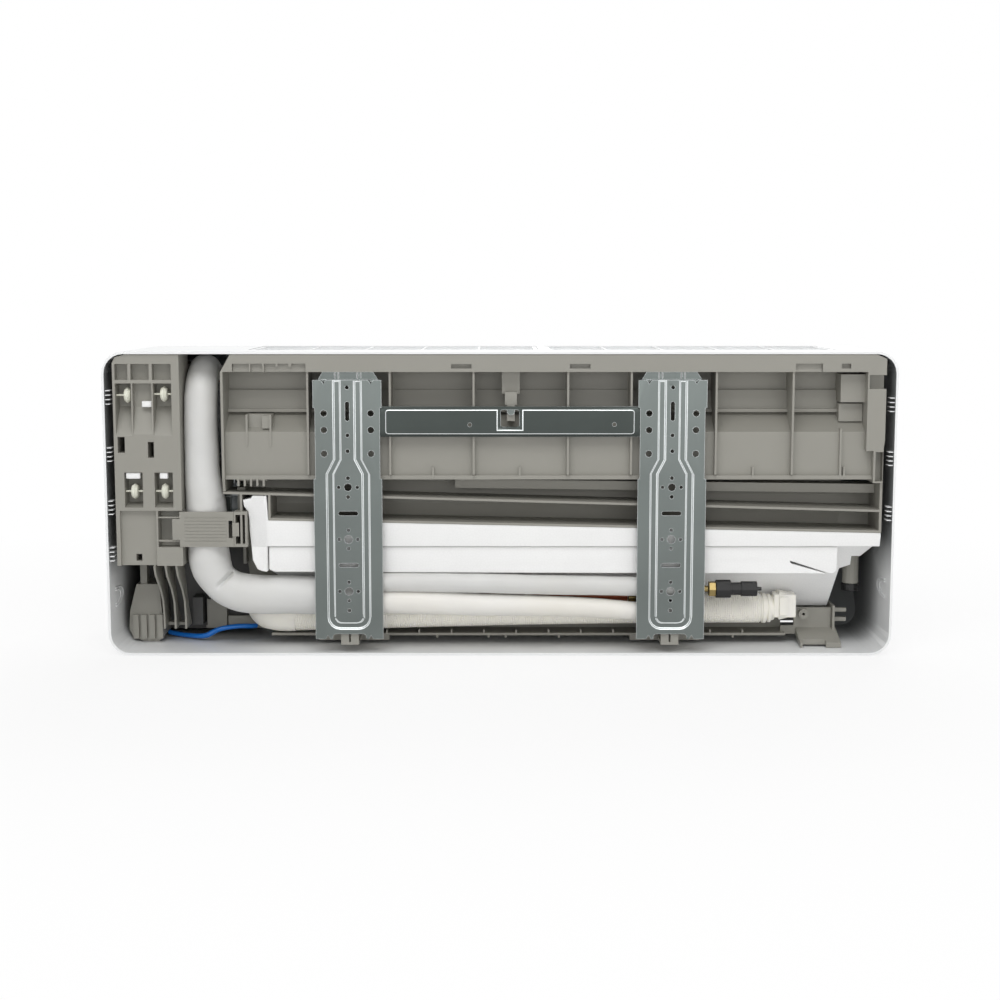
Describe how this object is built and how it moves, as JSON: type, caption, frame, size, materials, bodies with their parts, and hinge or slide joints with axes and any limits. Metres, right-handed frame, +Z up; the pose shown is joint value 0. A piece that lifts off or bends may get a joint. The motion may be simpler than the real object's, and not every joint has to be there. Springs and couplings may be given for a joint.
{
  "type": "mini split indoor unit",
  "caption": "Wall-mounted split air conditioner indoor unit with its wall plate, seen open-backed with lagged pipes, drain hose, coil, cross-flow fan, louver and vanes.",
  "frame": {"origin": "wall face of the wall plate's crossbar, midway along the casing", "axes": "+Y out of the room into the wall, +Z up, +X to the right seen from the room"},
  "size_m": [0.8, 0.205, 0.31],
  "materials": {
    "casing": "satin white moulding",
    "chassis": "matt grey moulding",
    "steel": "galvanised sheet",
    "foam": "expanded foam, matt",
    "sleeve": "foam pipe sleeve, matt",
    "hose": "soft ribbed hose",
    "coil": "plain",
    "copper": "drawn copper tube",
    "brass": "machined",
    "cap": "black moulding",
    "fan": "dark moulding",
    "display": "dark lens",
    "board": "circuit board",
    "lead": "blue sheath",
    "roller": "pale ribbed rubber"
  },
  "bodies": {
    "wall_plate": {"bracket_right": "steel", "bracket_left": "steel", "crossbar": "steel"},
    "unit": {"casing": "casing", "control_cover": "casing", "chassis": "chassis", "service_block": "chassis", "drain_pan": "chassis", "terminal_cover": "chassis", "control_box": "chassis", "evaporator": "coil", "coil_end_sheet": "copper", "header_pipe": "copper", "bare_pipe": "copper", "stub_pipe": "brass", "flare_nut": "brass", "inner_flare_nut": "brass", "flare_cap": "cap", "motor_shroud": "cap", "inner_flare_cap": "cap", "drain_plug": "cap", "fan_bearing": "cap", "pipe_bundle": "sleeve", "upper_sleeve": "sleeve", "lower_sleeve": "sleeve", "drain_hose": "hose", "hose_elbow": "hose", "hose_cuff": "hose", "foam_block": "foam", "foam_pad_1": "foam", "foam_pad_2": "foam", "foam_pad_3": "foam", "fan_motor": "coil", "louver_motor": "coil", "motor_clamp": "steel", "centre_screw": "steel", "control_board": "board", "earth_lead": "lead"},
    "panel": {"front_panel": "casing", "display_window": "display"},
    "louver": {"louver": "casing"},
    "fan": {"fan": "fan"},
    "vane_link": {"vane_link": "chassis"},
    "filter_left": {"filter_left": "casing"},
    "filter_right": {"filter_right": "casing"},
    "pipe_clip": {"pipe_clip": "chassis"},
    "manual_button": {"manual_button": "cap"},
    "vane_1": {"vane_1": "chassis"},
    "vane_2": {"vane_2": "chassis"},
    "vane_3": {"vane_3": "chassis"},
    "vane_4": {"vane_4": "chassis"},
    "vane_5": {"vane_5": "chassis"},
    "vane_6": {"vane_6": "chassis"},
    "vane_7": {"vane_7": "chassis"},
    "vane_8": {"vane_8": "chassis"},
    "roller_1": {"roller_1": "roller"},
    "roller_2": {"roller_2": "roller"},
    "roller_3": {"roller_3": "roller"},
    "roller_4": {"roller_4": "roller"}
  },
  "joints": [
    {"name": "unit_tilt", "type": "hinge", "parent": "wall_plate", "child": "unit", "pos_m": [0, -0.002, 0.0815], "axis": [-1, 0, 0], "range_deg": [0, 15]},
    {"name": "panel_hinge", "type": "hinge", "parent": "unit", "child": "panel", "pos_m": [0, -0.1965, 0.0755], "axis": [-1, 0, 0], "range_deg": [0, 60]},
    {"name": "louver_hinge", "type": "hinge", "parent": "unit", "child": "louver", "pos_m": [0, -0.15658, -0.2039], "axis": [1, 0, 0], "range_deg": [0, 75]},
    {"name": "fan_spin", "type": "hinge", "parent": "unit", "child": "fan", "pos_m": [0, -0.108, -0.072], "axis": [1, 0, 0], "continuous": true},
    {"name": "vane_link_slide", "type": "slide", "parent": "unit", "child": "vane_link", "axis": [1, 0, 0], "range_m": [-0.0073, 0.0073]},
    {"name": "filter_left_slide", "type": "slide", "parent": "unit", "child": "filter_left", "axis": [0, 0, 1], "range_m": [0, 0.06]},
    {"name": "filter_right_slide", "type": "slide", "parent": "unit", "child": "filter_right", "axis": [0, 0, 1], "range_m": [0, 0.06]},
    {"name": "clip_hinge", "type": "hinge", "parent": "unit", "child": "pipe_clip", "pos_m": [0.3305, -0.008, -0.0985], "axis": [0, 0, -1], "range_deg": [0, 110]},
    {"name": "button_press", "type": "slide", "parent": "unit", "child": "manual_button", "axis": [0, 1, 0], "range_m": [0, 0.002], "stiffness_N_per_m": 300},
    {"name": "vane_1_hinge", "type": "hinge", "parent": "unit", "child": "vane_1", "pos_m": [-0.31438, -0.15093, -0.16897], "axis": [0, -0.617, 0.787], "range_deg": [-30, 30]},
    {"name": "vane_2_hinge", "type": "hinge", "parent": "unit", "child": "vane_2", "pos_m": [-0.23713, -0.15093, -0.16897], "axis": [0, -0.617, 0.787], "range_deg": [-30, 30]},
    {"name": "vane_3_hinge", "type": "hinge", "parent": "unit", "child": "vane_3", "pos_m": [-0.15987, -0.15093, -0.16897], "axis": [0, -0.617, 0.787], "range_deg": [-30, 30]},
    {"name": "vane_4_hinge", "type": "hinge", "parent": "unit", "child": "vane_4", "pos_m": [-0.08263, -0.15093, -0.16897], "axis": [0, -0.617, 0.787], "range_deg": [-30, 30]},
    {"name": "vane_5_hinge", "type": "hinge", "parent": "unit", "child": "vane_5", "pos_m": [-0.00537, -0.15093, -0.16897], "axis": [0, -0.617, 0.787], "range_deg": [-30, 30]},
    {"name": "vane_6_hinge", "type": "hinge", "parent": "unit", "child": "vane_6", "pos_m": [0.07187, -0.15093, -0.16897], "axis": [0, -0.617, 0.787], "range_deg": [-30, 30]},
    {"name": "vane_7_hinge", "type": "hinge", "parent": "unit", "child": "vane_7", "pos_m": [0.14913, -0.15093, -0.16897], "axis": [0, -0.617, 0.787], "range_deg": [-30, 30]},
    {"name": "vane_8_hinge", "type": "hinge", "parent": "unit", "child": "vane_8", "pos_m": [0.22637, -0.15093, -0.16897], "axis": [0, -0.617, 0.787], "range_deg": [-30, 30]},
    {"name": "roller_1_spin", "type": "hinge", "parent": "unit", "child": "roller_1", "pos_m": [0.3757, -0.012, 0.0375], "axis": [1, 0, 0], "continuous": true},
    {"name": "roller_2_spin", "type": "hinge", "parent": "unit", "child": "roller_2", "pos_m": [0.339, -0.012, 0.0385], "axis": [1, 0, 0], "continuous": true},
    {"name": "roller_3_spin", "type": "hinge", "parent": "unit", "child": "roller_3", "pos_m": [0.3708, -0.012, -0.0602], "axis": [1, 0, 0], "continuous": true},
    {"name": "roller_4_spin", "type": "hinge", "parent": "unit", "child": "roller_4", "pos_m": [0.3401, -0.012, -0.0602], "axis": [1, 0, 0], "continuous": true}
  ],
  "couplings": [
    {"joint": "vane_1_hinge", "follows": "vane_link_slide", "rad_per_m": -71.429},
    {"joint": "vane_2_hinge", "follows": "vane_link_slide", "rad_per_m": -71.429},
    {"joint": "vane_3_hinge", "follows": "vane_link_slide", "rad_per_m": -71.429},
    {"joint": "vane_4_hinge", "follows": "vane_link_slide", "rad_per_m": -71.429},
    {"joint": "vane_5_hinge", "follows": "vane_link_slide", "rad_per_m": -71.429},
    {"joint": "vane_6_hinge", "follows": "vane_link_slide", "rad_per_m": -71.429},
    {"joint": "vane_7_hinge", "follows": "vane_link_slide", "rad_per_m": -71.429},
    {"joint": "vane_8_hinge", "follows": "vane_link_slide", "rad_per_m": -71.429}
  ]
}
